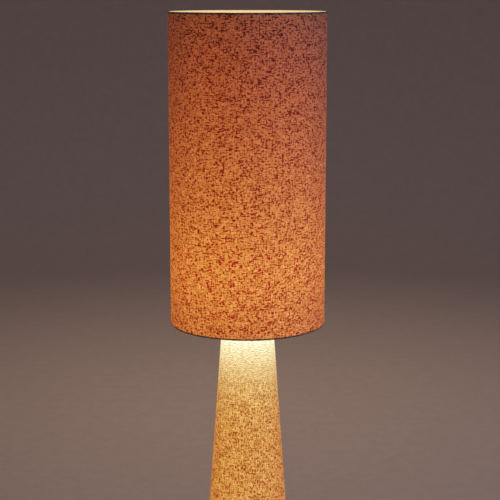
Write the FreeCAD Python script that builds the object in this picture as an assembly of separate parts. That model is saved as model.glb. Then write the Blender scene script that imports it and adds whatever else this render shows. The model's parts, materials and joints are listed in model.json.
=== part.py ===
"""Column floor lamp: a drum shade above a tapered, fabric-covered column that is lit from inside.

Millimetres, +Z up. The origin is on the floor, at the middle of the round base.
The front is -Y and the cord leaves at the rear, +Y.
"""

import FreeCAD, Part
import math
import os

from FreeCAD import Vector

# --- Shade ------------------------------------------------------------------------------------
shade_diameter = 350.0
shade_height = 700.0
shade_recess = 45.0  # from the shade's lower edge up to the seat of its carrier ring
spoke_count = 3
spoke_flat_share = 0.30  # share of a spoke's reach that runs level from the wire ring
spoke_rise_share = 0.30  # share of the reach over which it climbs to the carrier ring
spoke_bend_radius = 14.0
spoke_lap = 1.0  # a spoke's welded end laps this far over the carrier ring's edge

# --- Column -----------------------------------------------------------------------------------
column_bottom_diameter = 230.0
column_top_diameter = 115.0
column_shell_height = 804.0

# --- Laminated walls, rolled over wire rings ----------------------------------------------------
fabric_thickness = 1.0
liner_thickness = 0.8
wire_diameter = 4.0
wire_slack = 0.1  # between a wire ring and the cloth rolled round it
hem_flap = 8.0  # the cloth turned down inside, past the roll

# --- Foot -------------------------------------------------------------------------------------
pad_thickness = 3.0
pad_inner_diameter = 120.0
pad_outer_diameter = 208.0
flange_thickness = 5.0
boss_height = 12.0
boss_clearance = 1.5  # between the boss and the wall that drops over it
edge_chamfer = 2.0
nut_recess_diameter = 34.0
nut_recess_depth = 10.0

# --- Centre tube, threaded stubs and nuts -------------------------------------------------------
tube_diameter = 16.0
tube_wall = 1.5
tube_end_length = 30.0  # solid end bushings, tapped for the stubs
stub_diameter = 10.0
stub_bore = 7.2
thread_clearance = 0.05
hole_clearance = 0.2
nut_across_flats = 14.0
nut_height = 5.0
washer_diameter = 24.0
washer_thickness = 1.5
stub_overhang = 1.0

# --- Column top plate ---------------------------------------------------------------------------
top_plate_thickness = 2.0
top_plate_inset = 1.0  # the plate's edge lies this far inside the column's top edge
lip_depth = 8.0
lip_thickness = 1.5
seat_clearance = 0.3

# --- Lampholders --------------------------------------------------------------------------------
holder_diameter = 39.2
holder_cap_height = 18.0
holder_cap_floor = 3.0
holder_cap_wall = 2.0
holder_cap_round = 5.0
holder_height = 42.0
insert_top = 14.0
insert_clearance = 0.3
screw_shell_wall = 0.6
screw_shell_height = 24.0
tongue_diameter = 8.0
tongue_height = 3.0
collar_diameter = 56.0
collar_thickness = 2.5
collar_top = 26.0

# --- Bulbs --------------------------------------------------------------------------------------
bulb_diameter = 37.5
bulb_length = 116.0
bulb_cap_diameter = 26.2
bulb_cap_length = 25.5
bulb_body_length = 19.5
bulb_neck_diameter = 28.0
bulb_tip_diameter = 10.0
bulb_tip_height = 2.0
bulb_dome_radius = 10.0
bulb_tip_gap = 0.3
bulb_screw_clearance = 0.1

# --- Shade carrier ring and clamp ring ----------------------------------------------------------
carrier_bore = 42.0
carrier_diameter = 62.0
carrier_thickness = 2.0
clamp_flange_thickness = 3.0
clamp_neck_diameter = 48.0
clamp_height = 11.0
clamp_thread_clearance = 0.1
clamp_flute_count = 12
clamp_flute_radius = 2.0

# --- Lower lampholder's bracket -----------------------------------------------------------------
bracket_z = 230.0
bracket_reach = 36.0
bracket_thickness = 3.0
bracket_width = 24.0
bracket_collar_wall = 4.5
bracket_collar_height = 10.0
grub_screw_diameter = 4.0
grub_screw_length = 5.5

# --- Wiring -------------------------------------------------------------------------------------
lead_diameter = 6.0
lead_gap = 0.5  # between a lead and the tube that it runs along
block_width = 30.0
block_height = 20.0
block_end_margin = 8.0
block_round = 2.0
terminal_count = 2
terminal_pitch = 12.0
terminal_screw_diameter = 5.0
terminal_screw_height = 1.5
clip_count = 4
clip_height = 6.0
clip_wall = 1.3
clip_clearance = 0.1

# --- Cord grommet -------------------------------------------------------------------------------
grommet_bore = 7.4
grommet_neck_diameter = 12.0
grommet_flange_diameter = 18.0
grommet_flange_thickness = 2.0
grommet_groove = 2.6
grommet_height = 38.0

# --- Derived places -----------------------------------------------------------------------------
wire_radius = wire_diameter / 2
roll_inner = wire_radius + wire_slack
roll_outer = roll_inner + fabric_thickness

plate_bottom_z = pad_thickness
flange_top_z = plate_bottom_z + flange_thickness
boss_top_z = flange_top_z + boss_height
column_top_z = flange_top_z + column_shell_height
top_plate_z = column_top_z
holder_z = top_plate_z + top_plate_thickness + nut_height
carrier_z = holder_z + collar_top
shade_bottom_z = carrier_z - shade_recess
shade_top_z = shade_bottom_z + shade_height

tube_radius = tube_diameter / 2
stub_radius = stub_diameter / 2
lead_radius = lead_diameter / 2
upper_lead_y = tube_radius + lead_gap + lead_radius
lower_holder_z = bracket_z + bracket_thickness
barrel_bore = bulb_cap_diameter / 2 + bulb_screw_clearance + screw_shell_wall


# --- Drawing helpers ----------------------------------------------------------------------------
def arc(middle, end):
    """A step of an outline: an arc through middle to end."""
    return ("arc", middle, end)


def outline(start, *steps):
    """A closed face in the XZ plane. A step is a point (r, z), for a straight run, or an arc."""
    edges = []
    here = start
    for step in steps + (start,):
        if step[0] == "arc":
            middle, end = step[1:]
            curve = Part.Arc(*(Vector(r, 0, z) for r, z in (here, middle, end)))
            edges.append(curve.toShape())
            here = end
        elif step != here:
            edges.append(Part.makeLine(Vector(here[0], 0, here[1]), Vector(step[0], 0, step[1])))
            here = step
    return Part.Face(Part.Wire(edges))


def turned(start, *steps):
    """The solid that an outline sweeps round the Z axis."""
    return outline(start, *steps).revolve(Vector(0, 0, 0), Vector(0, 0, 1), 360)


def ring(inner, outer, bottom, top):
    """A plain ring or tube."""
    return turned((inner, bottom), (outer, bottom), (outer, top), (inner, top))


def rod(radius, bottom, top, x=0.0, y=0.0):
    """An upright round rod."""
    return Part.makeCylinder(radius, top - bottom, Vector(x, y, bottom))


def at(shape, x=0.0, y=0.0, z=0.0):
    """A copy of the shape, moved."""
    return shape.translated(Vector(x, y, z))


def round_z(shape, count):
    """Copies of a shape, evenly spaced round the Z axis."""
    copies = []
    for i in range(count):
        copy = shape.copy()
        copy.rotate(Vector(0, 0, 0), Vector(0, 0, 1), 360.0 * i / count)
        copies.append(copy)
    return copies


def hexagon(across_flats, height, bottom):
    """A hexagonal prism on the Z axis."""
    corner = across_flats / math.sqrt(3)
    points = [
        Vector(corner * math.cos(math.radians(a)), corner * math.sin(math.radians(a)), bottom)
        for a in range(0, 420, 60)
    ]
    return Part.Face(Part.makePolygon(points)).extrude(Vector(0, 0, height))


# --- Laminated walls ----------------------------------------------------------------------------
class Wall:
    """A round wall of cloth on a stiff liner, rolled over a wire ring at each end.

    Its line joins the centres of the two wires. Places on it are (out, along) from one wire.
    """

    def __init__(self, bottom_radius, bottom_z, top_radius, top_z):
        self.low = (bottom_radius - roll_outer, bottom_z + roll_outer)
        self.high = (top_radius - roll_outer, top_z - roll_outer)
        run, rise = self.high[0] - self.low[0], self.high[1] - self.low[1]
        self.length = math.hypot(run, rise)
        self.along = (run / self.length, rise / self.length)
        self.out = (self.along[1], -self.along[0])

    def point(self, end, out, inward):
        """A place that lies inward along the wall from the wire at end, and out from its line."""
        wire, way = (self.low, 1) if end == "low" else (self.high, -1)
        return tuple(wire[i] + out * self.out[i] + way * inward * self.along[i] for i in (0, 1))

    def turn(self, end, radius, angle):
        """A place on a circle round a wire. 0 degrees points out, and 90 away from the wall."""
        a = math.radians(angle)
        return self.point(end, radius * math.cos(a), -radius * math.sin(a))

    def liner(self):
        """The stiff liner, between the two wires."""
        inner = roll_inner - liner_thickness
        corners = (("low", roll_inner), ("high", roll_inner), ("high", inner), ("low", inner))
        return turned(*(self.point(end, out, roll_inner) for end, out in corners))

    def cloth(self):
        """The cloth: a skin outside the liner, a roll round each wire and a flap inside."""
        flap_out = roll_inner - liner_thickness
        flap_in = flap_out - fabric_thickness
        flap_end = roll_outer + hem_flap
        outer_end = 360 - math.degrees(math.acos(flap_in / roll_outer))
        inner_start = 360 - math.degrees(math.acos(flap_out / roll_inner))
        return turned(
            self.point("low", roll_outer, 0),
            self.point("high", roll_outer, 0),
            arc(self.turn("high", roll_outer, outer_end / 2), self.turn("high", roll_outer, outer_end)),
            self.point("high", flap_in, flap_end),
            self.point("high", flap_out, flap_end),
            self.turn("high", roll_inner, inner_start),
            arc(self.turn("high", roll_inner, inner_start / 2), self.turn("high", roll_inner, 0)),
            self.point("low", roll_inner, 0),
            arc(self.turn("low", roll_inner, inner_start / 2), self.turn("low", roll_inner, inner_start)),
            self.point("low", flap_out, flap_end),
            self.point("low", flap_in, flap_end),
            self.turn("low", roll_outer, outer_end),
            arc(self.turn("low", roll_outer, outer_end / 2), self.turn("low", roll_outer, 0)),
        )

    def wire(self, end):
        """The wire ring at one end."""
        radius, z = self.low if end == "low" else self.high
        return Part.makeTorus(radius, wire_radius, Vector(0, 0, z))

    def radius(self, z):
        """The outer radius of the cloth at a height."""
        share = (z - self.low[1]) / (self.high[1] - self.low[1])
        return self.low[0] + share * (self.high[0] - self.low[0]) + roll_outer / self.out[0]


# --- Shade --------------------------------------------------------------------------------------
def spoke(wall):
    """One cranked spoke, from the shade's lower wire in and up to the carrier ring."""
    start, low_z = wall.low
    end = carrier_diameter / 2
    high_z = carrier_z + carrier_thickness / 2
    reach = start - end
    knee = start - spoke_flat_share * reach
    hip = knee - spoke_rise_share * reach
    corners = [(start, low_z), (knee, low_z), (hip, high_z), (end - spoke_lap, high_z)]
    points = [Vector(r, 0, z) for r, z in corners]
    edges = []
    here = points[0]
    for before, corner, after in zip(points, points[1:], points[2:]):
        into = (before - corner).normalize()
        away = (after - corner).normalize()
        half = into.getAngle(away) / 2
        setback = spoke_bend_radius / math.tan(half)
        first, last = corner + into * setback, corner + away * setback
        bisector = (into + away).normalize()
        middle = corner + bisector * (spoke_bend_radius / math.sin(half) - spoke_bend_radius)
        edges += [Part.makeLine(here, first), Part.Arc(first, middle, last).toShape()]
        here = last
    edges.append(Part.makeLine(here, points[-1]))
    path = Part.Wire(edges)
    circle = Part.Wire(Part.makeCircle(wire_radius, points[0], Vector(1, 0, 0)))
    bar = path.makePipeShell([circle], True, False)
    bar.rotate(Vector(0, 0, 0), Vector(0, 0, 1), 90)
    return bar


def shade():
    """The drum shade and the wire frame that carries it."""
    radius = shade_diameter / 2
    wall = Wall(radius, shade_bottom_z, radius, shade_top_z)
    lower_wire = wall.wire("low")
    carrier = ring(carrier_bore / 2, carrier_diameter / 2, carrier_z, carrier_z + carrier_thickness)
    spokes = [bar.cut(lower_wire).cut(carrier) for bar in round_z(spoke(wall), spoke_count)]
    spokes = [max(bar.Solids, key=lambda solid: solid.Volume) for bar in spokes]
    notch = Part.makeCylinder(
        wire_radius + wire_slack, roll_outer * 2, Vector(0, wall.low[0], wall.low[1]), Vector(0, -1, 0)
    )
    cloth = wall.cloth().cut(Part.makeCompound(round_z(notch, spoke_count)))
    return {
        "shade_fabric": cloth,
        "shade_liner": wall.liner(),
        "shade_top_ring": wall.wire("high"),
        "shade_bottom_ring": lower_wire,
        "shade_spokes": Part.makeCompound(spokes),
        "shade_carrier_ring": carrier,
    }


def shade_clamp():
    """The threaded ring that clamps the carrier ring down on the lampholder's collar."""
    bottom = carrier_z + carrier_thickness
    bore = holder_diameter / 2 + clamp_thread_clearance
    flange = collar_diameter / 2
    neck = clamp_neck_diameter / 2
    body = turned(
        (bore, bottom),
        (flange, bottom),
        (flange, bottom + clamp_flange_thickness),
        (neck, bottom + clamp_flange_thickness),
        (neck, bottom + clamp_height),
        (bore, bottom + clamp_height),
    )
    flute = rod(clamp_flute_radius, bottom + clamp_flange_thickness, bottom + clamp_height, x=neck + 1)
    return {"shade_clamp_ring": body.cut(Part.makeCompound(round_z(flute, clamp_flute_count)))}


# --- Column -------------------------------------------------------------------------------------
column_wall = Wall(column_bottom_diameter / 2, flange_top_z, column_top_diameter / 2, column_top_z)
column_tilt = math.degrees(math.atan2(column_wall.out[1], column_wall.out[0]))


def on_rear_wall(shape):
    """Moves a shape made round the Y axis to the cord's hole, square to the wall."""
    shape = shape.copy()
    middle = roll_outer - (fabric_thickness + liner_thickness) / 2
    shape.translate(Vector(0, column_wall.radius(grommet_height) - roll_outer + middle, 0))
    shape.rotate(Vector(0, column_wall.radius(grommet_height), 0), Vector(1, 0, 0), column_tilt)
    return at(shape, z=grommet_height)


def grommet():
    """The grommet that lines the cord's hole, and the drill for that hole."""
    neck, flange, bore = grommet_neck_diameter / 2, grommet_flange_diameter / 2, grommet_bore / 2
    half, outer = grommet_groove / 2, grommet_groove / 2 + grommet_flange_thickness
    body = turned(
        (bore, -outer),
        (flange, -outer),
        (flange, -half),
        (neck, -half),
        (neck, half),
        (flange, half),
        (flange - 1, outer),
        (bore, outer),
    )
    drill = rod(neck + hole_clearance, -2 * outer, 2 * outer)
    for shape in (body, drill):
        shape.rotate(Vector(0, 0, 0), Vector(1, 0, 0), -90)
    return on_rear_wall(body), on_rear_wall(drill)


def column():
    """The tapered shell, its wire rings, its top plate and the cord's grommet."""
    body, drill = grommet()
    hole = stub_radius + hole_clearance
    edge = column_top_diameter / 2 - top_plate_inset
    lip = column_wall.high[0] - roll_outer - seat_clearance
    top = top_plate_z + top_plate_thickness
    plate = turned(
        (hole, top_plate_z),
        (lip - lip_thickness, top_plate_z),
        (lip - lip_thickness, top_plate_z - lip_depth),
        (lip, top_plate_z - lip_depth),
        (lip, top_plate_z),
        (edge, top_plate_z),
        (edge, top - edge_chamfer / 2),
        (edge - edge_chamfer / 2, top),
        (hole, top),
    )
    lead_hole = rod(lead_radius + hole_clearance, top_plate_z - 1, top + 1, y=upper_lead_y)
    return {
        "column_fabric": column_wall.cloth().cut(drill),
        "column_liner": column_wall.liner().cut(drill),
        "column_bottom_ring": column_wall.wire("low"),
        "column_top_ring": column_wall.wire("high"),
        "column_top_plate": plate.cut(lead_hole),
        "cord_grommet": body,
    }


# --- Foot, tube and fasteners -------------------------------------------------------------------
def foot():
    """The cast foot and the pad that it stands on."""
    hole = stub_radius + hole_clearance
    recess = nut_recess_diameter / 2
    recess_top = plate_bottom_z + nut_recess_depth
    flange = column_wall.low[0] + roll_outer
    boss = column_wall.point("low", -roll_outer, boss_height)[0] - boss_clearance
    plate = turned(
        (hole, recess_top),
        (recess, recess_top),
        (recess, plate_bottom_z),
        (flange - edge_chamfer, plate_bottom_z),
        (flange, plate_bottom_z + edge_chamfer),
        (flange, flange_top_z),
        (boss, flange_top_z),
        (boss, boss_top_z - edge_chamfer),
        (boss - edge_chamfer, boss_top_z),
        (hole, boss_top_z),
    )
    return {
        "floor_pad": ring(pad_inner_diameter / 2, pad_outer_diameter / 2, 0, pad_thickness),
        "base_plate": plate,
    }


def nut(bottom):
    """A hexagon nut on a threaded stub."""
    hole = rod(stub_radius + thread_clearance, bottom - 1, bottom + nut_height + 1)
    return hexagon(nut_across_flats, nut_height, bottom).cut(hole)


def stub(bottom, top):
    """A hollow threaded stub, shown at its outer diameter."""
    return ring(stub_bore / 2, stub_radius, bottom, top)


def stem():
    """The tube from the foot to the top plate, with its stubs, nuts and washer."""
    tapped = stub_radius + thread_clearance
    bore = tube_radius - tube_wall
    tube = turned(
        (tapped, boss_top_z),
        (tube_radius, boss_top_z),
        (tube_radius, top_plate_z),
        (tapped, top_plate_z),
        (tapped, top_plate_z - tube_end_length),
        (bore, top_plate_z - tube_end_length),
        (bore, boss_top_z + tube_end_length),
        (tapped, boss_top_z + tube_end_length),
    )
    recess_top = plate_bottom_z + nut_recess_depth
    nut_z = recess_top - washer_thickness - nut_height
    return {
        "centre_tube": tube,
        "lower_stub": stub(nut_z - stub_overhang, boss_top_z + tube_end_length),
        "foot_washer": ring(
            stub_radius + hole_clearance, washer_diameter / 2, recess_top - washer_thickness, recess_top
        ),
        "foot_nut": nut(nut_z),
        "upper_stub": stub(top_plate_z - tube_end_length, holder_z + holder_cap_floor),
        "top_nut": nut(top_plate_z + top_plate_thickness),
    }


def bracket():
    """The arm on the tube that carries the lower lampholder."""
    collar = tube_radius + bracket_collar_wall
    drop = bracket_z - nut_height - stub_overhang
    arm = Part.makeBox(
        bracket_width, bracket_reach, bracket_thickness, Vector(-bracket_width / 2, 0, bracket_z)
    )
    arm = arm.fuse(rod(bracket_width / 2, bracket_z, lower_holder_z, y=bracket_reach))
    arm = arm.fuse(rod(collar, bracket_z, bracket_z + bracket_collar_height)).removeSplitter()
    top = bracket_z + bracket_collar_height + 1
    holes = [
        rod(tube_radius + thread_clearance, bracket_z - 1, top),
        rod(lead_radius + hole_clearance, bracket_z - 1, top, y=upper_lead_y),
        rod(stub_radius + hole_clearance, bracket_z - 1, top, y=bracket_reach),
    ]
    screw_z = bracket_z + bracket_thickness + (bracket_collar_height - bracket_thickness) / 2
    screw_start = Vector(0, -tube_radius - thread_clearance, screw_z)
    screw_radius = grub_screw_diameter / 2
    holes.append(
        Part.makeCylinder(screw_radius + thread_clearance, collar, Vector(0, 0, screw_z), Vector(0, -1, 0))
    )
    screw = Part.makeCylinder(screw_radius, grub_screw_length, screw_start, Vector(0, -1, 0))
    return {
        "holder_bracket": arm.cut(Part.makeCompound(holes)),
        "bracket_screw": screw,
        "bracket_stub": at(stub(drop, lower_holder_z + holder_cap_floor), y=bracket_reach),
        "bracket_nut": at(nut(bracket_z - nut_height), y=bracket_reach),
    }


# --- Lampholders and bulbs ----------------------------------------------------------------------
def lampholder(name, y, z, collared):
    """A screw lampholder, standing on its threaded stub."""
    outer = holder_diameter / 2
    neck = stub_radius + thread_clearance
    floor = outer - holder_cap_round
    bend = holder_cap_round * (1 - math.sqrt(0.5))
    cap = turned(
        (neck, 0),
        (floor, 0),
        arc((outer - bend, bend), (outer, holder_cap_round)),
        (outer, holder_cap_height),
        (outer - holder_cap_wall, holder_cap_height),
        (outer - holder_cap_wall, holder_cap_floor),
        (neck, holder_cap_floor),
    )
    insert = rod(outer - holder_cap_wall - insert_clearance, holder_cap_floor, insert_top)
    shell = ring(
        barrel_bore - screw_shell_wall, barrel_bore, insert_top, insert_top + screw_shell_height
    )
    tongue = rod(tongue_diameter / 2, insert_top, insert_top + tongue_height)
    barrel = ring(barrel_bore, outer, holder_cap_height, holder_height)
    if collared:
        barrel = barrel.fuse(ring(outer - 1, collar_diameter / 2, collar_top - collar_thickness, collar_top))
        barrel = barrel.removeSplitter()
    pieces = {"cap": cap, "insert": insert, "screw_shell": shell, "contact": tongue, "barrel": barrel}
    return {f"{name}_holder_{piece}": at(shape, y=y, z=z) for piece, shape in pieces.items()}


def bulb(name, y, z):
    """A slim opal bulb, from its contact tip up."""
    tip, screw = bulb_tip_diameter / 2, bulb_cap_diameter / 2
    neck, body = bulb_neck_diameter / 2, bulb_diameter / 2
    cap_top = bulb_cap_length
    body_top = cap_top + bulb_body_length
    cone = screw - tip
    bend = bulb_dome_radius * (1 - math.sqrt(0.5))
    pieces = {
        "tip": rod(tip, 0, bulb_tip_height),
        "screw_cap": turned(
            (0, bulb_tip_height),
            (tip, bulb_tip_height),
            (screw, bulb_tip_height + cone / 2),
            (screw, cap_top),
            (0, cap_top),
        ),
        "body": turned((0, cap_top), (neck, cap_top), (body, body_top - 6), (body, body_top), (0, body_top)),
        "diffuser": turned(
            (0, body_top),
            (body, body_top),
            (body, bulb_length - bulb_dome_radius),
            arc((body - bend, bulb_length - bend), (body - bulb_dome_radius, bulb_length)),
            (0, bulb_length),
        ),
    }
    bottom = z + insert_top + tongue_height + bulb_tip_gap
    return {f"{name}_bulb_{piece}": at(shape, y=y, z=bottom) for piece, shape in pieces.items()}


# --- Wiring -------------------------------------------------------------------------------------
def wiring():
    """The terminal block on the foot, the two leads that rise from it and their clips."""
    front = tube_radius + lead_gap
    length = bracket_reach + block_end_margin - front
    block = Part.makeBox(block_width, length, block_height, Vector(-block_width / 2, front, boss_top_z))
    upright = [e for e in block.Edges if abs(e.tangentAt(e.FirstParameter).z) > 0.9]
    block = block.makeFillet(block_round, upright)
    block_top = boss_top_z + block_height
    middle = (upper_lead_y + bracket_reach) / 2
    screws = []
    for i in range(terminal_count):
        x = (i - (terminal_count - 1) / 2) * terminal_pitch
        head = rod(terminal_screw_diameter / 2, block_top, block_top + terminal_screw_height, x, middle)
        screws.append(head)
    upper = rod(lead_radius, block_top, holder_z, y=upper_lead_y)
    lower = rod(lead_radius, block_top, lower_holder_z + holder_cap_floor, y=bracket_reach)
    span = top_plate_z - lip_depth - lower_holder_z - holder_height
    clips = []
    for i in range(clip_count):
        bottom = lower_holder_z + holder_height + span * (i + 0.5) / clip_count
        clips.append(lead_clip(bottom))
    return {
        "terminal_block": block,
        "terminal_screws": Part.makeCompound(screws),
        "upper_lead": upper,
        "lower_lead": lower,
        "lead_clips": Part.makeCompound(clips),
    }


def lead_clip(bottom):
    """A clip that ties the upper lead to the tube."""
    top = bottom + clip_height
    outer = rod(tube_radius + clip_wall, bottom, top).fuse(
        rod(lead_radius + clip_wall, bottom, top, y=upper_lead_y)
    )
    inner = [
        rod(tube_radius + clip_clearance, bottom - 1, top + 1),
        rod(lead_radius + clip_clearance, bottom - 1, top + 1, y=upper_lead_y),
    ]
    return outer.cut(Part.makeCompound(inner))


def lamp():
    """Every piece of the lamp, by name."""
    pieces = {}
    pieces.update(foot())
    pieces.update(stem())
    pieces.update(column())
    pieces.update(bracket())
    pieces.update(wiring())
    pieces.update(lampholder("lower", bracket_reach, lower_holder_z, collared=False))
    pieces.update(lampholder("upper", 0, holder_z, collared=True))
    pieces.update(bulb("lower", bracket_reach, lower_holder_z))
    pieces.update(bulb("upper", 0, holder_z))
    pieces.update(shade())
    pieces.update(shade_clamp())
    return pieces


os.makedirs("parts", exist_ok=True)
for node, shape in lamp().items():
    solids = shape.Solids
    if not solids or not all(solid.isValid() and solid.Volume > 0 for solid in solids):
        raise ValueError(f"{node} isn't a sound solid")
    result = solids[0] if len(solids) == 1 else Part.makeCompound(solids)
    result.exportStep(f"parts/{node}.step")
    print(f"{node}: {len(solids)} solid(s), {result.Volume / 1000:.2f} cm3, {len(result.Faces)} faces")
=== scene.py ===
"""Dresses the column floor lamp: its cloth, its finishes, its light and a plain stage."""

import json
import math

import bpy
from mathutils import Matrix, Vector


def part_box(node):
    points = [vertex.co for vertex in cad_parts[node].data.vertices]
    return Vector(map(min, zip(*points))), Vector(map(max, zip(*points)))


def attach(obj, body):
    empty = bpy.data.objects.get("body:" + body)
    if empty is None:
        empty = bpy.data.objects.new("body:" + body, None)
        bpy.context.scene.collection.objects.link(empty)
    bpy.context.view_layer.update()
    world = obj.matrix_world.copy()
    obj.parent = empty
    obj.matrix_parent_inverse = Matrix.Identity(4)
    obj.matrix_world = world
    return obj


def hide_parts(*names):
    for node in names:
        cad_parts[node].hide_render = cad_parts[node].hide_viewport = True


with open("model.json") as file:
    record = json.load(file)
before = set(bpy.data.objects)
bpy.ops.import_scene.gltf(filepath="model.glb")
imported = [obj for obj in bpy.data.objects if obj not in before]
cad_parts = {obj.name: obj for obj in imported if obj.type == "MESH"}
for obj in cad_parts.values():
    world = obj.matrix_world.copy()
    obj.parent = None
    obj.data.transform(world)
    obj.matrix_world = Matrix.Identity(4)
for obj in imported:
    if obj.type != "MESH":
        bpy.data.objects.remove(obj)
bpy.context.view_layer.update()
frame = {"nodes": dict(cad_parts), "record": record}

bl_info = {
    "name": "Column floor lamp",
    "version": (1, 0, 0),
    "blender": (4, 5, 0),
    "location": "3D View > Sidebar > Lamp",
    "description": "Models the lamp's cloth, gives every piece its finish and sets the stage",
    "category": "Add Mesh",
}

# Places that the frame fixes, in metres
WIRE_RADIUS = 0.002
ROLL_RADIUS = 0.0031  # the outside of the cloth rolled round a wire
FLAP_OUT = 0.0003  # the turned-down flap's face, out from the wires' line
FLAP_END = 0.0111  # how far the flap reaches from a wire


def wire_place(node):
    """The radius and height of a wire ring's centre line."""
    low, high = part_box(node)
    return high[0] - WIRE_RADIUS, (low[2] + high[2]) / 2


SHADE_WIRES = wire_place("shade_bottom_ring"), wire_place("shade_top_ring")
COLUMN_WIRES = wire_place("column_bottom_ring"), wire_place("column_top_ring")
SHADE_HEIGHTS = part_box("shade_fabric")[0][2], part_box("shade_fabric")[1][2]
COLUMN_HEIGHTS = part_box("column_fabric")[0][2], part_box("column_fabric")[1][2]


# --- Sizes and colours that a user would change ---------------------------------------------------
def length(name, description, default):
    """A length in metres."""
    return bpy.props.FloatProperty(
        name=name, description=description, default=default, precision=5, unit="LENGTH"
    )


def colour(name, description, default):
    """A linear colour."""
    return bpy.props.FloatVectorProperty(
        name=name, description=description, default=default, size=3, subtype="COLOR", min=0, max=1
    )


def number(name, description, default):
    """A plain number."""
    return bpy.props.FloatProperty(name=name, description=description, default=default)


class LampCloth(bpy.types.PropertyGroup):
    """The slub linen of the shade and the column."""

    thickness: length("Thickness", "Thickness of the cloth", 0.0008)
    lap_width: length("Lap width", "Width of the glued lap at the rear", 0.0110)
    lap_thickness: length("Lap thickness", "How far the glued lap at the rear stands proud", 0.0005)
    hem_lumps: length("Hem lumps", "How far the rolled edges are uneven", 0.00015)
    segments: bpy.props.IntProperty(name="Segments", description="Faces round the cloth", default=192)
    skin_steps: bpy.props.IntProperty(name="Skin steps", description="Faces up the cloth", default=36)
    roll_steps: bpy.props.IntProperty(name="Roll steps", description="Faces round a rolled edge", default=12)
    thread_pitch: length("Thread pitch", "Distance between threads", 0.0009)
    slub_length: length("Slub length", "Usual length of a dark slub", 0.0075)
    slub_width: length("Slub width", "Usual width of a dark slub", 0.0030)
    linen: colour("Linen", "Natural yarn", (0.34, 0.27, 0.20))
    rust: colour("Rust", "Dark slub yarn", (0.075, 0.045, 0.052))


class LampThread(bpy.types.PropertyGroup):
    """The rolled thread of the bulbs' screw caps."""

    pitch: length("Pitch", "Height of one ridge", 0.0036)
    depth: length("Depth", "How deep the grooves are", 0.0010)
    collar: length("Collar", "Height of the plain band above the thread", 0.0034)
    ridges: bpy.props.IntProperty(name="Ridges", description="Ridges on a screw cap", default=4)


class LampGlow(bpy.types.PropertyGroup):
    """The light of the two bulbs, and how it shows in the cloth."""

    bulb: colour("Bulb", "Colour of the bulbs' light", (1.0, 0.86, 0.64))
    upper_strength: number("Upper strength", "Radiance of the upper bulb", 18.0)
    lower_strength: number("Lower strength", "Radiance of the lower bulb", 2.0)
    near: colour("Near the bulb", "Light through the shade beside the bulb", (0.725, 0.268, 0.040))
    far: colour("Far from the bulb", "Light through the top of the shade", (0.215, 0.044, 0.009))
    column: colour("Column", "Light through the column", (0.68, 0.325, 0.062))
    # the spill is painted light: the upper bulb's light on the column's outside, with the weave's ripple
    # painted into it as light and shade
    spill: colour("Spill", "What the upper bulb adds at the top of the column", (0.25, 0.60, 0.60))
    spill_reach: length("Spill reach", "How far down the column the spill falls to a third", 0.070)
    rim: colour("Rim", "Light on the cloth that is turned into the shade", (0.80, 0.60, 0.29))
    shade_slub: colour("Shade slub", "Share of the light through a slub near the bulb", (0.55, 0.05, 0.02))
    far_slub: colour("Far slub", "Share of the light through a slub far from the bulb", (0.22, 0.10, 0.12))
    column_slub: colour("Column slub", "Share of the light through a slub of the column", (0.57, 0.15, 0.04))
    hem_share: number("Hem share", "Share of the light through a rolled edge", 0.08)
    lap_share: number("Lap share", "Share of the light through the lap at the rear", 0.68)
    spill_ripple: number("Spill ripple", "How much the weave's ripple shows in the spill", 2.0)


class LampStage(bpy.types.PropertyGroup):
    """The floor, the lights and the camera."""

    floor_radius: length("Floor radius", "Radius of the round floor", 6.0)
    sweep_radius: length("Sweep radius", "Radius of the curve from the floor to the wall", 1.5)
    wall_height: length("Wall height", "Height of the round wall", 5.0)
    camera_side: length("Camera side", "Camera's place along X", 0.0055)
    camera_distance: length("Camera distance", "Camera's distance in front of the lamp", 3.0187)
    camera_height: length("Camera height", "Camera's height above the floor", 1.5465)
    camera_pitch: bpy.props.FloatProperty(
        name="Camera pitch",
        description="How far the camera looks down",
        default=math.radians(10.86),
        subtype="ANGLE",
    )
    lens: number("Lens", "Focal length in millimetres on a 36 mm sensor", 97.7)
    key_power: number("Key power", "Power of the cool light on the right, in watts", 28.0)
    fill_power: number("Fill power", "Power of the neutral light on the left, in watts", 4.0)
    rear_power: number("Rear power", "Power of the warm light over the floor at the rear, in watts", 16.0)
    air_strength: number("Air strength", "Strength of the light from all round", 0.075)


# --- Drawing helpers ------------------------------------------------------------------------------
def mixed(a, b, share):
    """The colour or place that lies share of the way from a to b."""
    return tuple(x + (y - x) * share for x, y in zip(a, b))


def start_object(name):
    """Names the primitive that was just added, and opens it in edit mode with all of it selected."""
    piece = bpy.context.object
    piece.name = piece.data.name = name
    bpy.ops.object.transform_apply(location=True, rotation=True, scale=True)
    bpy.ops.object.mode_set(mode="EDIT")
    bpy.ops.mesh.select_mode(type="EDGE")
    bpy.ops.mesh.select_all(action="SELECT")
    return piece


def select_faces(piece, wanted):
    """Selects, in edit mode, the faces whose centre passes the test."""
    bpy.ops.mesh.select_mode(type="FACE")
    bpy.ops.mesh.select_all(action="DESELECT")
    bpy.ops.object.mode_set(mode="OBJECT")
    for face in piece.data.polygons:
        face.select = wanted(face.center)
    bpy.ops.object.mode_set(mode="EDIT")


def settle(piece):
    """Leaves edit mode and puts the object's origin at the frame's."""
    bpy.ops.object.mode_set(mode="OBJECT")
    bpy.ops.object.transform_apply(location=True, rotation=True, scale=True)
    piece.select_set(False)


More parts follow.
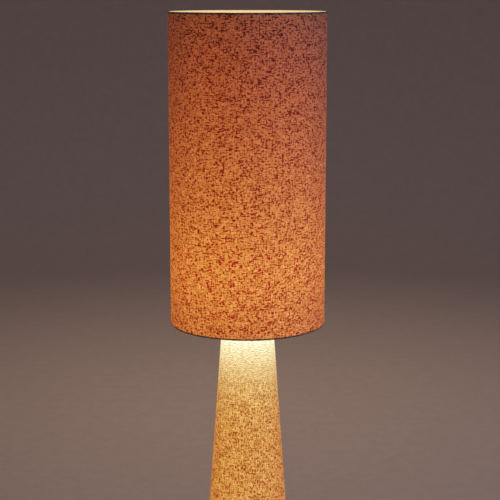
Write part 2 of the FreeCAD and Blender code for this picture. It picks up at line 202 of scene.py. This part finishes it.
def turned(name, profile, segments, fill="NOTHING"):
    """A round piece, open in edit mode, drawn ring by ring along its profile of (radius, height)."""
    radius, height = profile[0]
    bpy.ops.object.select_all(action="DESELECT")
    place = 0, 0, height
    bpy.ops.mesh.primitive_circle_add(vertices=segments, radius=radius, fill_type=fill, location=place)
    piece = start_object(name)
    if fill != "NOTHING":
        bpy.ops.mesh.region_to_loop()
    for (r, z), (next_r, next_z) in zip(profile, profile[1:]):
        bpy.ops.mesh.extrude_region_move(TRANSFORM_OT_translate={"value": (0, 0, next_z - z)})
        bpy.ops.transform.resize(value=(next_r / r, next_r / r, 1), center_override=(0, 0, next_z))
    return piece


def modify(piece, kind, **settings):
    """Adds a modifier and applies it."""
    modifier = piece.modifiers.new(kind.title(), kind)
    for key, value in settings.items():
        setattr(modifier, key, value)
    with bpy.context.temp_override(object=piece, active_object=piece):
        bpy.ops.object.modifier_apply(modifier=modifier.name)


def feed(tree, sockets, values):
    """Sets each socket to its value, or links the output that stands in its place."""
    for key, value in values.items():
        if isinstance(value, bpy.types.NodeSocket):
            tree.links.new(value, sockets[key])
        else:
            sockets[key].default_value = value


def node(tree, kind, values=None, **settings):
    """A shader node, with its settings and its inputs."""
    made = tree.nodes.new("ShaderNode" + kind)
    for key, value in settings.items():
        setattr(made, key, value)
    feed(tree, made.inputs, values or {})
    return made


def use_group(tree, group, values):
    """The outputs of a node that places a group with its own inputs."""
    made = tree.nodes.new("ShaderNodeGroup")
    made.node_tree = group
    feed(tree, made.inputs, values)
    return made.outputs


def maths(tree, operation, *values):
    """The output of a Math node."""
    return node(tree, "Math", dict(enumerate(values)), operation=operation).outputs[0]


def vector(tree, operation, *values):
    """The output of a Vector Math node."""
    return node(tree, "VectorMath", dict(enumerate(values)), operation=operation).outputs[0]


def scaled(tree, colours, value):
    """A colour times a value."""
    return node(tree, "VectorMath", {0: colours, "Scale": value}, operation="SCALE").outputs[0]


def spread(tree, value, low, high, to_low, to_high):
    """The output of a Map Range node that is smooth at both ends."""
    values = {0: value, 1: low, 2: high, 3: to_low, 4: to_high}
    return node(tree, "MapRange", values, interpolation_type="SMOOTHSTEP").outputs[0]


def blended(tree, share, a, b):
    """The colour output of a Mix node."""
    made = node(tree, "Mix", data_type="RGBA")
    sockets = {s.name: s for s in made.inputs if s.enabled}
    colours = {key: (*value, 1) if isinstance(value, tuple) else value for key, value in (("A", a), ("B", b))}
    feed(tree, sockets, {"Factor": share, **colours})
    return next(s for s in made.outputs if s.enabled)


def new_group(name, inputs, outputs):
    """An empty node group with its sockets, and its input and output nodes."""
    tree = bpy.data.node_groups.new(name, "ShaderNodeTree")
    for key, kind, default in inputs:
        socket = tree.interface.new_socket(key, in_out="INPUT", socket_type="NodeSocket" + kind)
        if default is not None:
            socket.default_value = default
    for key in outputs:
        tree.interface.new_socket(key, in_out="OUTPUT", socket_type="NodeSocketFloat")
    return tree, tree.nodes.new("NodeGroupInput").outputs, tree.nodes.new("NodeGroupOutput").inputs


def new_material(name):
    """A material with an empty tree, and its Principled BSDF."""
    material = bpy.data.materials.new(name)
    material.use_nodes = True
    tree = material.node_tree
    tree.nodes.clear()
    shader = node(tree, "BsdfPrincipled")
    node(tree, "OutputMaterial", {"Surface": shader.outputs[0]})
    return material, tree, shader


def link(tree, source, socket):
    """Links an output to an input."""
    tree.links.new(source, socket)


# --- Effects that several finishes share ----------------------------------------------------------
def slub_weave():
    """The group for slub linen: where its dark slubs lie, its threads' tone and its relief."""
    name = "Slub weave"
    if name in bpy.data.node_groups:
        return bpy.data.node_groups[name]
    inputs = [
        ("Vector", "Vector", None),
        ("Slubs along", "Float", 133.0),
        ("Slubs across", "Float", 330.0),
        ("Threads", "Float", 7000.0),
        ("Upright", "Float", 0.0),
    ]
    tree, given, out = new_group(name, inputs, ["Slub", "Tone", "Ripple", "Height"])

    def streaks(around, up, shift, detail):
        """Noise from 0 to 1, with so many streaks a metre."""
        size = node(tree, "CombineXYZ", {0: around, 1: up}).outputs[0]
        place = vector(tree, "MULTIPLY_ADD", given["Vector"], size, (*shift, 0))
        values = {"Vector": place, "Scale": 1.0, "Detail": detail, "Roughness": 0.6}
        return node(tree, "TexNoise", values, noise_dimensions="2D").outputs[0]

    def uneven(around, up, shift, detail):
        """The same noise about zero."""
        return maths(tree, "SUBTRACT", streaks(around, up, shift, detail), 0.5)

    lying_from, standing_from, fade = 0.56, 0.60, 0.11  # the noise that starts a slub, and fills it
    along, across = 55.0, 380.0  # changes of tone a metre, along a thread and across it
    rib_pitch, rib_share, rib_drift = 0.0044, 0.14, 11.0  # the cloth's broad ribs, and how far they wander
    patch_share, weave_height, slub_height, ripple_height, contrast = 0.30, 0.25, 0.25, 1.6, 1.8
    patches = maths(tree, "MULTIPLY", uneven(40.0, 60.0, (3.7, 1.2), 1.0), patch_share)
    lying = streaks(given["Slubs along"], given["Slubs across"], (11.3, 5.9), 0.6)
    lying = maths(tree, "SUBTRACT", maths(tree, "ADD", lying, patches), given["Upright"])
    lying = spread(tree, lying, lying_from, lying_from + fade, 0.0, 1.0)
    standing = streaks(given["Slubs across"], given["Slubs along"], (7.1, 17.7), 0.6)
    standing = maths(tree, "ADD", maths(tree, "ADD", standing, patches), given["Upright"])
    standing = spread(tree, standing, standing_from, standing_from + fade, 0.0, 1.0)
    slub = maths(tree, "MAXIMUM", lying, standing)
    weft, warp = uneven(along, across, (1.3, 9.1), 2.0), uneven(across, along, (13.9, 2.3), 2.0)
    threads = maths(tree, "ADD", weft, warp)
    ends = node(tree, "SeparateXYZ", {0: given["Vector"]}).outputs
    over, under = (maths(tree, "SINE", maths(tree, "MULTIPLY", end, given["Threads"])) for end in ends[:2])
    weave = maths(tree, "MULTIPLY", maths(tree, "MULTIPLY", over, under), weave_height)
    drift = maths(tree, "MULTIPLY", streaks(95.0, 50.0, (5.5, 8.8), 1.0), rib_drift)
    ribs = maths(tree, "SINE", maths(tree, "MULTIPLY_ADD", ends[1], math.tau / rib_pitch, drift))
    ripple = maths(tree, "MULTIPLY_ADD", ribs, rib_share, uneven(130.0, 480.0, (8.1, 4.4), 1.0))
    height = maths(tree, "MULTIPLY_ADD", slub, slub_height, maths(tree, "ADD", weave, threads))
    link(tree, slub, out["Slub"])
    link(tree, maths(tree, "MULTIPLY", threads, contrast), out["Tone"])
    link(tree, ripple, out["Ripple"])
    link(tree, maths(tree, "MULTIPLY_ADD", ripple, ripple_height, height), out["Height"])
    return tree


def surface_grain():
    """The group for fine grain: a mask of its patches and its relief."""
    name = "Surface grain"
    if name in bpy.data.node_groups:
        return bpy.data.node_groups[name]
    inputs = [("Scale", "Float", 400.0), ("Stretch", "Vector", (1.0, 1.0, 1.0))]
    tree, given, out = new_group(name, inputs, ["Patch", "Height"])
    place = vector(tree, "MULTIPLY", node(tree, "TexCoord").outputs["Object"], given["Stretch"])
    fine = node(tree, "TexNoise", {"Vector": place, "Scale": given["Scale"], "Detail": 3.0}).outputs[0]
    broad = node(tree, "TexNoise", {"Vector": place, "Scale": 22.0, "Detail": 2.0}).outputs[0]
    patch = maths(tree, "ADD", maths(tree, "MULTIPLY", fine, 0.4), maths(tree, "MULTIPLY", broad, 0.6))
    link(tree, spread(tree, patch, 0.35, 0.65, 0.0, 1.0), out["Patch"])
    link(tree, fine, out["Height"])
    return tree


# --- Cloth ----------------------------------------------------------------------------------------
WHITE = 1, 1, 1
SPILL_SLUB = 0.9, 0.55, 0.30  # what a slub leaves of the spill
THREAD_TONE = 0.55, 1.05, 2.4  # how much more of each colour a thin thread lets through
# painted shade: the light through the cloth is darker at the sides
SIDE_SHADE_TONE = 0.91, 0.79, 0.56  # what is left of each colour where the cloth turns away from the view
COLUMN_SLUBS = {"Slubs along": 140.0, "Slubs across": 430.0, "Upright": 0.04}  # streaks a metre, and lean


def unhemmed(tree, lamp, z, heights):
    """A factor that is small on the two rolled edges, where the wire stops the light."""
    dark, lit = 0.003, 0.006  # how far from the cloth's end the light starts, and is full
    below, above = maths(tree, "SUBTRACT", z, heights[0]), maths(tree, "SUBTRACT", heights[1], z)
    return spread(tree, maths(tree, "MINIMUM", below, above), dark, lit, lamp.hem_share, 1.0)


def unlapped(tree, lamp, x, y):
    """A factor that is smaller on the glued lap at the rear, where the cloth is double."""
    turn, soft = maths(tree, "ABSOLUTE", maths(tree, "ARCTAN2", x, y)), 0.02 * lap_turn()
    return spread(tree, turn, lap_turn() - soft, lap_turn() + soft, lamp.lap_share, 1.0)


def shade_glow(tree, lamp, place, surface):
    """Light through the shade, light on its rim, where the slubs show and what they let through."""
    x, y, z = place
    full, none = 0.96, 1.52  # the heights where the light is full, and where it would end
    mouth, clear, mouth_share = 0.80, 0.93, 0.80  # the lower edge, and where it stops dimming the light
    flap, roll = 0.1716, 0.1730  # the radii of the turned-in cloth, and of where it starts to roll
    red_fall, other_fall = 0.87, 1.6  # how fast each colour falls off with the height
    edge_dim = 0.22  # how much the sides dim, far from the bulb
    above = node(tree, "MapRange", {0: z, 1: full, 2: none, 3: 1.0, 4: 0.0}).outputs[0]
    near = maths(tree, "MULTIPLY", above, spread(tree, z, mouth, clear, mouth_share, 1.0))
    red, deep = maths(tree, "POWER", near, red_fall), maths(tree, "POWER", near, other_fall)
    share = node(tree, "CombineXYZ", {0: red, 1: deep, 2: deep}).outputs[0]
    gain = tuple(a - b for a, b in zip(lamp.near, lamp.far))
    through = vector(tree, "MULTIPLY_ADD", share, gain, tuple(lamp.far))
    # painted shade: the sides of the shade are dimmed further far from the bulb
    dim = maths(tree, "MULTIPLY", maths(tree, "SUBTRACT", near, 1.0), surface["edge"])
    through = scaled(tree, through, maths(tree, "MULTIPLY_ADD", dim, edge_dim, 1.0))
    bare = maths(tree, "MULTIPLY", unhemmed(tree, lamp, z, SHADE_HEIGHTS), unlapped(tree, lamp, x, y))
    out = node(tree, "CombineXYZ", {0: x, 1: y}).outputs[0]
    radius = node(tree, "VectorMath", {0: out}, operation="LENGTH").outputs["Value"]
    # painted light: the bulb's light on the cloth turned into the shade, picked out by its radius
    inside = spread(tree, radius, flap, roll, 1.0, 0.0)
    added = scaled(tree, tuple(lamp.rim), inside)
    slub_share = blended(tree, near, tuple(lamp.far_slub), tuple(lamp.shade_slub))
    return scaled(tree, through, bare), added, maths(tree, "SUBTRACT", 1.0, inside), slub_share


def column_glow(tree, lamp, place, surface):
    """Light through the column, the spill on it, where the slubs show and what they let through."""
    x, y, z = place
    bright = 0.767  # the height from which the spill falls off
    blue_fall, ripple_shade_share = 0.4, 3.6  # how much faster blue falls off, and how strong the ripple is
    covers, fades = 0.64, 0.04  # the spill that hides every slub, and the spill that hides none
    bare = maths(tree, "MULTIPLY", unhemmed(tree, lamp, z, COLUMN_HEIGHTS), unlapped(tree, lamp, x, y))
    # painted light: the upper bulb's spill on the column's outside, falling off down from its top, with the
    # weave's ripple painted into it as light and shade
    depth = maths(tree, "DIVIDE", maths(tree, "SUBTRACT", z, bright), lamp.spill_reach)
    spill = maths(tree, "MINIMUM", maths(tree, "EXPONENT", depth), 1.0)
    rippled = maths(tree, "MULTIPLY_ADD", surface["ripple"], lamp.spill_ripple, 1.0)
    rippled = maths(tree, "MULTIPLY", maths(tree, "MULTIPLY", spill, bare), rippled)
    blue = maths(tree, "MULTIPLY", rippled, maths(tree, "POWER", spill, blue_fall))
    share = node(tree, "CombineXYZ", {0: rippled, 1: rippled, 2: blue}).outputs[0]
    # painted light and shade: the weave's ripple on the column's own light, strongest where the spill half
    # covers it
    middling = maths(tree, "MULTIPLY", spill, maths(tree, "SUBTRACT", 1.0, spill))
    relief = maths(tree, "MULTIPLY", surface["ripple"], middling)
    relief = maths(tree, "MULTIPLY_ADD", relief, ripple_shade_share, 1.0)
    through = scaled(tree, tuple(lamp.column), maths(tree, "MULTIPLY", bare, relief))
    seen = spread(tree, spill, fades, covers, 1.0, 0.0)
    return through, vector(tree, "MULTIPLY", share, tuple(lamp.spill)), seen, tuple(lamp.column_slub)


def cloth_material(name, glow, slubs):
    """Slub linen with the bulb's light coming through it, and painted light and shade on it: the rim's light,
    the column's spill and its ripple, and darker sides.
    """
    cloth, lamp = bpy.context.scene.lamp_cloth, bpy.context.scene.lamp_glow
    material, tree, shader = new_material(name)
    values = {
        "Vector": node(tree, "UVMap", uv_map="cloth").outputs[0],
        "Slubs along": 1 / cloth.slub_length,
        "Slubs across": 1 / cloth.slub_width,
        "Threads": math.tau / cloth.thread_pitch,
    }
    weave = use_group(tree, slub_weave(), {**values, **slubs})
    place = node(tree, "SeparateXYZ", {0: node(tree, "TexCoord").outputs["Object"]}).outputs
    # painted shade: the light through the cloth darkens towards the sides, where the cloth turns away from
    # the view
    facing = node(tree, "LayerWeight", {"Blend": 0.5}).outputs["Facing"]
    surface = {"edge": spread(tree, facing, 0.15, 0.7, 0.0, 1.0), "ripple": weave["Ripple"]}
    through, added, seen, slub_share = glow(tree, lamp, place, surface)
    shown = weave["Slub"], weave["Tone"], surface["edge"]
    slub, tone, edge = (maths(tree, "MULTIPLY", value, seen) for value in shown)
    added = vector(tree, "MULTIPLY", added, blended(tree, slub, WHITE, SPILL_SLUB))
    thread = vector(tree, "MAXIMUM", vector(tree, "MULTIPLY_ADD", tone, THREAD_TONE, WHITE), (0, 0, 0))
    for factor in (blended(tree, slub, WHITE, slub_share), thread, blended(tree, edge, WHITE, SIDE_SHADE_TONE)):
        through = vector(tree, "MULTIPLY", through, factor)
    relief = node(tree, "Bump", {"Height": weave["Height"], "Strength": 0.55, "Distance": 0.0006})
    finish_values = {
        "Emission Color": vector(tree, "ADD", through, added),
        "Emission Strength": 1.0,
        "Base Color": blended(tree, slub, tuple(cloth.linen), tuple(cloth.rust)),
        "Normal": relief.outputs[0],
        "Roughness": 0.88,
        "Sheen Weight": 0.12,
        "Sheen Roughness": 0.5,
        "Specular IOR Level": 0.15,
    }
    feed(tree, shader.inputs, finish_values)
    return material


def lap_turn():
    """Half of the lap's turn round the lamp, in whole faces nearest to half of its width on the shade."""
    cloth = bpy.context.scene.lamp_cloth
    face = math.tau / cloth.segments
    return face * max(1, round(cloth.lap_width / 2 / SHADE_WIRES[0][0] / face))


def cloth_profile(low, high, skin_steps, roll_steps):
    """The cloth's bare side as places (radius, height): flap, roll, skin, roll and flap."""
    run, rise = high[0] - low[0], high[1] - low[1]
    reach = math.hypot(run, rise)
    along = run / reach, rise / reach
    out = along[1], -along[0]

    def place(wire, way, away, inward):
        return tuple(wire[i] + away * out[i] + way * inward * along[i] for i in (0, 1))

    def roll(wire, way):
        end = math.tau - math.acos(FLAP_OUT / ROLL_RADIUS)
        angles = [end * i / roll_steps for i in range(roll_steps + 1)]
        return [place(wire, way, ROLL_RADIUS * math.cos(a), -ROLL_RADIUS * math.sin(a)) for a in angles]

    first, last = roll(low, 1), roll(high, -1)
    skin = [mixed(first[0], last[0], i / skin_steps) for i in range(1, skin_steps)]
    bottom = [place(low, 1, FLAP_OUT, FLAP_END)] + first[::-1]
    return bottom + skin + last + [place(high, -1, FLAP_OUT, FLAP_END)]


def lay_cloth(piece, low, high):
    """The cloth's own map, in metres on the flat cut, with the seam at the rear."""
    slope = (low[0] - high[0]) / math.hypot(low[0] - high[0], high[1] - low[1])
    layer = piece.data.uv_layers.new(name="cloth")
    for face in piece.data.polygons:
        middle = math.atan2(face.center.x, -face.center.y)
        for loop in face.loop_indices:
            x, y, z = piece.data.vertices[piece.data.loops[loop].vertex_index].co
            turn = math.atan2(x, -y)
            turn += math.tau * round((middle - turn) / math.tau)
            if slope < 0.001:  # a straight side unrolls into a rectangle
                layer.data[loop].uv = (low[0] * turn, z)
            else:
                reach = (low[0] - (z - low[1]) * (low[0] - high[0]) / (high[1] - low[1])) / slope
                layer.data[loop].uv = (reach * math.sin(turn * slope), -reach * math.cos(turn * slope))


def rolled_cloth(name, low, high):
    """A round of cloth, rolled over a wire at each end and lapped at the rear."""
    cloth = bpy.context.scene.lamp_cloth
    profile = cloth_profile(low, high, cloth.skin_steps, cloth.roll_steps)
    piece = turned(name, profile, cloth.segments)
    skin_low, skin_high = low[1] + ROLL_RADIUS, high[1] - ROLL_RADIUS

    def at_rear(centre):
        """Whether a face of the outer skin is on the lap."""
        wires = mixed(low, high, (centre.z - low[1]) / (high[1] - low[1]))[0]
        outer = math.hypot(centre.x, centre.y) > wires + WIRE_RADIUS
        return outer and abs(math.atan2(centre.x, centre.y)) < lap_turn() and skin_low < centre.z < skin_high

    select_faces(piece, at_rear)
    bpy.ops.mesh.extrude_region_move()
    grow = 1 + cloth.lap_thickness / low[0]
    bpy.ops.transform.resize(value=(grow, grow, 1), center_override=(0, 0, 0))
    hem_low, hem_high = low[1] - ROLL_RADIUS / 2, high[1] + ROLL_RADIUS / 2
    select_faces(piece, lambda centre: not hem_low < centre.z < hem_high)
    bpy.ops.transform.vertex_random(offset=cloth.hem_lumps, normal=0.5, seed=7)
    bpy.ops.mesh.select_all(action="SELECT")
    bpy.ops.mesh.normals_make_consistent(inside=False)
    settle(piece)
    outward = sum(f.normal.x * f.center.x + f.normal.y * f.center.y for f in piece.data.polygons)
    if outward < 0:
        piece.data.flip_normals()
    lay_cloth(piece, low, high)
    modify(piece, "SOLIDIFY", thickness=cloth.thickness, offset=-1.0, use_even_offset=True)
    piece.data.shade_smooth()
    return piece


class LAMP_OT_shade_cloth(bpy.types.Operator):
    """Models the shade's linen, rolled over its two wires"""

    bl_idname = "lamp.shade_cloth"
    bl_label = "Shade cloth"

    def execute(self, context):
        piece = rolled_cloth("shade_linen", *SHADE_WIRES)
        piece.data.materials.append(cloth_material("shade_linen", shade_glow, {}))
        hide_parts("shade_fabric")
        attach(piece, "shade")
        return {"FINISHED"}


class LAMP_OT_column_cloth(bpy.types.Operator):
    """Models the column's linen, rolled over its two wires"""

    bl_idname = "lamp.column_cloth"
    bl_label = "Column cloth"

    def execute(self, context):
        piece = rolled_cloth("column_linen", *COLUMN_WIRES)
        piece.data.materials.append(cloth_material("column_linen", column_glow, COLUMN_SLUBS))
        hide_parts("column_fabric")
        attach(piece, "root")
        return {"FINISHED"}


# --- Finishes of the pieces that the frame holds --------------------------------------------------
LAMINATE = 0.82, 0.80, 0.75
OPAL = 0.8, 0.78, 0.72
# colour in the hollows, colour on the rest, metallic, least and most roughness, grain, stretch, relief
FINISHES = {
    "coated_wire": ((0.62, 0.60, 0.56), (0.74, 0.72, 0.67), 0.0, 0.38, 0.55, 900, (1, 1, 1), 0.15),
    "white_plate": ((0.64, 0.62, 0.58), (0.76, 0.74, 0.69), 0.0, 0.38, 0.55, 900, (1, 1, 1), 0.15),
    "cast_foot": ((0.018, 0.016, 0.015), (0.032, 0.029, 0.027), 0.0, 0.45, 0.7, 350, (1, 1, 1), 0.5),
    "floor_felt": ((0.010, 0.010, 0.010), (0.024, 0.023, 0.022), 0.0, 0.85, 0.95, 1500, (1, 1, 1), 0.6),
    "zinc_steel": ((0.42, 0.42, 0.40), (0.58, 0.58, 0.56), 1.0, 0.28, 0.48, 700, (1, 1, 0.08), 0.2),
    "holder_plastic": ((0.66, 0.64, 0.59), (0.74, 0.72, 0.67), 0.0, 0.28, 0.40, 600, (1, 1, 1), 0.08),
    "insert_ceramic": ((0.58, 0.53, 0.43), (0.68, 0.63, 0.53), 0.0, 0.18, 0.30, 500, (1, 1, 1), 0.08),
    "contact_brass": ((0.50, 0.33, 0.11), (0.66, 0.46, 0.18), 1.0, 0.25, 0.42, 700, (1, 1, 0.2), 0.15),
    "bulb_white": ((0.72, 0.72, 0.69), (0.78, 0.78, 0.75), 0.0, 0.38, 0.50, 600, (1, 1, 1), 0.06),
    "bulb_nickel": ((0.52, 0.50, 0.45), (0.66, 0.64, 0.59), 1.0, 0.18, 0.32, 700, (1, 1, 0.3), 0.12),
    "lead_sheath": ((0.60, 0.59, 0.55), (0.68, 0.67, 0.63), 0.0, 0.42, 0.55, 500, (1, 1, 0.2), 0.1),
    "block_plastic": ((0.55, 0.55, 0.52), (0.62, 0.62, 0.59), 0.0, 0.45, 0.60, 700, (1, 1, 1), 0.12),
    "grommet_rubber": ((0.014, 0.013, 0.012), (0.026, 0.024, 0.022), 0.0, 0.55, 0.75, 900, (1, 1, 1), 0.25),
}


def grained_material(name, hollow, rest, metallic, smooth, rough, grain, stretch, relief):
    """A finish whose tone and roughness change over fine grain."""
    material, tree, shader = new_material(name)
    grained = use_group(tree, surface_grain(), {"Scale": float(grain), "Stretch": stretch})
    link(tree, blended(tree, grained["Patch"], hollow, rest), shader.inputs["Base Color"])
    link(tree, spread(tree, grained["Patch"], 0.0, 1.0, rough, smooth), shader.inputs["Roughness"])
    bump = node(tree, "Bump", {"Height": grained["Height"], "Strength": relief, "Distance": 0.0002})
    link(tree, bump.outputs[0], shader.inputs["Normal"])
    shader.inputs["Metallic"].default_value = metallic
    return material


def lit_material(name, base, glow, strength, heights):
    """A pale finish that gives light, least at the lower of two heights: a bulb's own light, or painted bulb
    light on a liner.
    """
    material, tree, shader = new_material(name)
    grained = use_group(tree, surface_grain(), {"Scale": 500.0})
    up = node(tree, "SeparateXYZ", {0: node(tree, "TexCoord").outputs["Object"]}).outputs[2]
    share = node(tree, "MapRange", {0: up, 1: heights[0], 2: heights[1]}).outputs[0]
    values = {
        "Base Color": blended(tree, grained["Patch"], mixed(base, (0, 0, 0), 0.05), base),
        "Emission Color": blended(tree, share, mixed(glow, (0, 0, 0), 0.25), glow),
        "Emission Strength": strength,
        "Roughness": 0.45,
    }
    feed(tree, shader.inputs, values)
    return material


def finish(name):
    """The finish of this name, made when it is first asked for."""
    return bpy.data.materials.get(name) or grained_material(name, *FINISHES[name])


def dress(slots, material_of):
    """Gives the finish to every piece of the frame whose slot is one of these."""
    for part in frame["record"]["subparts"]:
        if part["material_slot"] in slots:
            piece = frame["nodes"][part["node"]]
            for place in piece.material_slots:
                place.material = material_of(part)


def screw_cap(name):
    """A bulb's screw cap, turned with the ridges of its thread, in place of the plain one."""
    thread = bpy.context.scene.lamp_thread
    low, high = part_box(f"{name}_bulb_screw_cap")
    tip_low, tip_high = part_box(f"{name}_bulb_tip")
    radius, groove = (high[0] - low[0]) / 2, (high[0] - low[0]) / 2 - thread.depth
    start = high[2] - thread.collar - thread.ridges * thread.pitch
    bevel, steps, faces = 0.0004, 8, 64  # steps are places up one ridge, faces go round it
    profile = [((tip_high[0] - tip_low[0]) / 2, low[2]), (groove, start - 2 * bevel)]
    for i in range(thread.ridges * steps + 1):
        crest = (1 - math.cos(math.tau * i / steps)) / 2
        profile.append((groove + thread.depth * crest, start + thread.pitch * i / steps))
    band = radius - thread.depth / 3
    profile += [(band, high[2] - thread.collar + bevel), (band, high[2])]
    piece = turned(f"{name}_screw_cap", profile, faces, "NGON")
    bpy.ops.mesh.edge_face_add()
    bpy.ops.mesh.select_all(action="SELECT")
    bpy.ops.mesh.normals_make_consistent(inside=False)
    bpy.ops.transform.translate(value=(0, (low[1] + high[1]) / 2, 0))
    settle(piece)
    piece.select_set(True)
    bpy.ops.object.shade_smooth_by_angle(angle=math.radians(40))
    piece.select_set(False)
    piece.data.materials.append(finish("bulb_nickel"))
    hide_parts(f"{name}_bulb_screw_cap")
    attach(piece, f"{name}_bulb")


class LAMP_OT_screw_caps(bpy.types.Operator):
    """Models the rolled threads of the two bulbs' screw caps"""

    bl_idname = "lamp.screw_caps"
    bl_label = "Screw caps"

    def execute(self, context):
        for name in ("upper", "lower"):
            screw_cap(name)
        return {"FINISHED"}


class LAMP_OT_finishes(bpy.types.Operator):
    """Gives the plain pieces of the frame their finishes"""

    bl_idname = "lamp.finishes"
    bl_label = "Metal, plastic and rubber"

    def execute(self, context):
        dress(FINISHES, lambda part: finish(part["material_slot"]))
        return {"FINISHED"}


class LAMP_OT_liners(bpy.types.Operator):
    """Gives the two liners their white laminate, with the bulbs' light on it painted in as a glow"""

    bl_idname = "lamp.liners"
    bl_label = "Liners"

    def execute(self, context):
        # each liner's glow is painted light: the bulbs' light on the laminate, drawn as emission
        shade = lit_material("shade_laminate", LAMINATE, (0.16, 0.11, 0.05), 1.0, SHADE_HEIGHTS)
        column = lit_material("column_laminate", LAMINATE, (0.30, 0.20, 0.085), 1.0, COLUMN_HEIGHTS)
        dress(["white_liner"], lambda part: shade if part["node"] == "shade_liner" else column)
        return {"FINISHED"}


class LAMP_OT_bulbs(bpy.types.Operator):
    """Lights the two opal bulbs"""

    bl_idname = "lamp.bulbs"
    bl_label = "Bulbs"

    def execute(self, context):
        lamp = context.scene.lamp_glow
        rise = 0.012  # how far up from its lower edge a bulb has its full light
        made = {}
        for name, strength in (("upper", lamp.upper_strength), ("lower", lamp.lower_strength)):
            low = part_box(f"{name}_bulb_diffuser")[0][2]
            opal = lit_material(f"{name}_opal", OPAL, tuple(lamp.bulb), strength, (low, low + rise))
            made[f"{name}_bulb_diffuser"] = opal
        dress(["bulb_opal"], lambda part: made[part["node"]])
        return {"FINISHED"}


# --- Stage ----------------------------------------------------------------------------------------
LAMP_MIDDLE = 0, 0, 1.1
FLOOR_TINTS = (0.62, 0.50, 0.475), (0.66, 0.535, 0.51)
AIR_TINT = 1.0, 0.95, 0.97
# place, what it points at, size in metres, colour
LIGHTS = {
    "key": ((3.2, -1.2, 2.7), LAMP_MIDDLE, 1.6, (0.40, 0.64, 1.0)),
    "fill": ((-2.8, -2.4, 2.4), LAMP_MIDDLE, 2.2, (1.0, 0.93, 0.86)),
    "rear": ((0, 1.9, 2.2), (0, 2.1, 0), 2.0, (1.0, 0.74, 0.50)),
}


def area_light(name, power, place, target, size, tint):
    """A soft square light that points at the target."""
    bpy.ops.object.light_add(type="AREA", location=place)
    light = bpy.context.object
    light.name = name
    light.data.size = size
    light.data.energy = power
    light.data.color = tint
    away = light.location - light.location.__class__(target)
    light.rotation_euler = away.to_track_quat("Z", "Y").to_euler()


class LAMP_OT_stage(bpy.types.Operator):
    """Sets the floor, the lights and the camera"""

    bl_idname = "lamp.stage"
    bl_label = "Stage"

    def execute(self, context):
        stage = context.scene.lamp_stage
        sweep, steps, faces = stage.sweep_radius, 12, 96
        flat = stage.floor_radius - sweep
        turns = [math.pi / 2 * i / steps for i in range(steps + 1)]
        profile = [(flat + sweep * math.sin(t), sweep * (1 - math.cos(t))) for t in turns]
        floor = turned("floor", [*profile, (stage.floor_radius, stage.wall_height)], faces, "NGON")
        settle(floor)
        floor.data.shade_smooth()
        material, tree, shader = new_material("pale_floor")
        grained = use_group(tree, surface_grain(), {"Scale": 60.0})
        link(tree, blended(tree, grained["Patch"], *FLOOR_TINTS), shader.inputs["Base Color"])
        shader.inputs["Roughness"].default_value = 0.8
        floor.data.materials.append(material)

        world = bpy.data.worlds.new("air")
        world.use_nodes = True
        back = world.node_tree.nodes["Background"]
        back.inputs["Color"].default_value = (*AIR_TINT, 1)
        back.inputs["Strength"].default_value = stage.air_strength
        context.scene.world = world
        for name, settings in LIGHTS.items():
            area_light(name, getattr(stage, f"{name}_power"), *settings)

        bpy.ops.object.camera_add(
            location=(stage.camera_side, -stage.camera_distance, stage.camera_height),
            rotation=(math.pi / 2 - stage.camera_pitch, 0, 0),
        )
        camera = context.object
        camera.name = "camera"
        camera.data.lens = stage.lens
        context.scene.camera = camera
        context.scene.view_settings.view_transform = "Standard"
        return {"FINISHED"}


class LAMP_PT_panel(bpy.types.Panel):
    """Lists what the lamp is made of"""

    bl_idname = "LAMP_PT_panel"
    bl_label = "Column floor lamp"
    bl_space_type = "VIEW_3D"
    bl_region_type = "UI"
    bl_category = "Lamp"

    def draw(self, context):
        for operator in OPERATORS:
            self.layout.operator(operator.bl_idname)
        for name in GROUPS:
            group, box = getattr(context.scene, name), self.layout.box()
            for key in group.__annotations__:
                box.prop(group, key)


OPERATORS = (
    LAMP_OT_shade_cloth,
    LAMP_OT_column_cloth,
    LAMP_OT_screw_caps,
    LAMP_OT_finishes,
    LAMP_OT_liners,
    LAMP_OT_bulbs,
    LAMP_OT_stage,
)
GROUPS = {"lamp_cloth": LampCloth, "lamp_thread": LampThread, "lamp_glow": LampGlow, "lamp_stage": LampStage}


def register():
    for cls in (*GROUPS.values(), *OPERATORS, LAMP_PT_panel):
        bpy.utils.register_class(cls)
    for name, group in GROUPS.items():
        setattr(bpy.types.Scene, name, bpy.props.PointerProperty(type=group))


def unregister():
    for name in GROUPS:
        delattr(bpy.types.Scene, name)
    for cls in reversed((*GROUPS.values(), *OPERATORS, LAMP_PT_panel)):
        bpy.utils.unregister_class(cls)


def main():
    register()
    for operator in OPERATORS:
        group, name = operator.bl_idname.split(".")
        getattr(getattr(bpy.ops, group), name)()


if __name__ == "__main__":
    main()
